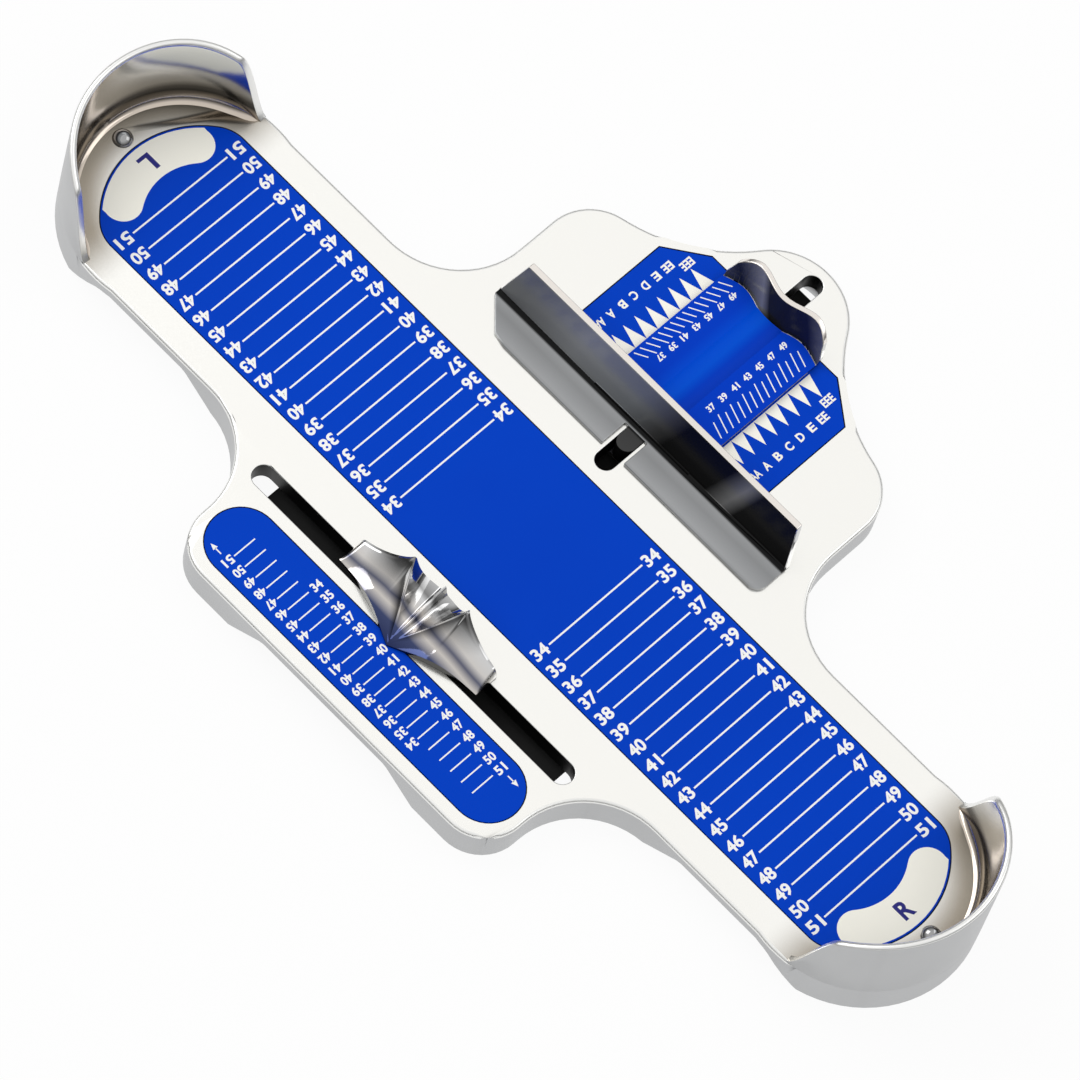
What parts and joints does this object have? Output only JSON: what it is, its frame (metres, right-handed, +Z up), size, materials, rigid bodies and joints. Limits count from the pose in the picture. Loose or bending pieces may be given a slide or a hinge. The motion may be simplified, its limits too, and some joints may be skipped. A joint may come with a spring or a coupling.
{
  "type": "foot measuring device",
  "caption": "Cast foot measuring device with heel cups at both ends, a printed length scale, a sliding width bar and a sliding arch pointer.",
  "frame": {"origin": "on the table under the middle of the casting's outline", "axes": "+X along the foot scale, +Y towards the width bar, +Z up"},
  "size_m": [0.3588, 0.2098, 0.0457],
  "materials": {
    "polished_casting": "polished cast aluminium, satin skirt",
    "blue_enamel": "blue printed aluminium plate with white markings",
    "bright_stud": "bright domed stud",
    "mirror_chrome": "mirror chrome",
    "dark_guide": "blackened steel",
    "spring_steel": "blued spring steel",
    "zinc_steel": "zinc-plated steel"
  },
  "bodies": {
    "base": {"base_casting": "polished_casting", "length_plate": "blue_enamel", "arch_plate": "blue_enamel", "width_plate_left": "blue_enamel", "width_plate_right": "blue_enamel", "heel_studs": "bright_stud"},
    "width_slider": {"width_bar": "mirror_chrome", "slide_plate": "blue_enamel", "width_guide": "dark_guide", "width_spring": "spring_steel", "width_retainer": "zinc_steel", "width_washers": "zinc_steel", "width_screws": "zinc_steel"},
    "arch_slider": {"arch_pointer": "mirror_chrome", "arch_guide": "dark_guide", "arch_spring": "spring_steel", "arch_retainer": "zinc_steel", "arch_washers": "zinc_steel", "arch_screws": "zinc_steel"}
  },
  "joints": [
    {"name": "width_slide", "type": "slide", "parent": "base", "child": "width_slider", "axis": [0, 1, 0], "range_m": [-0.008, 0.04]},
    {"name": "arch_slide", "type": "slide", "parent": "base", "child": "arch_slider", "axis": [1, 0, 0], "range_m": [-0.049, 0.049]}
  ]
}
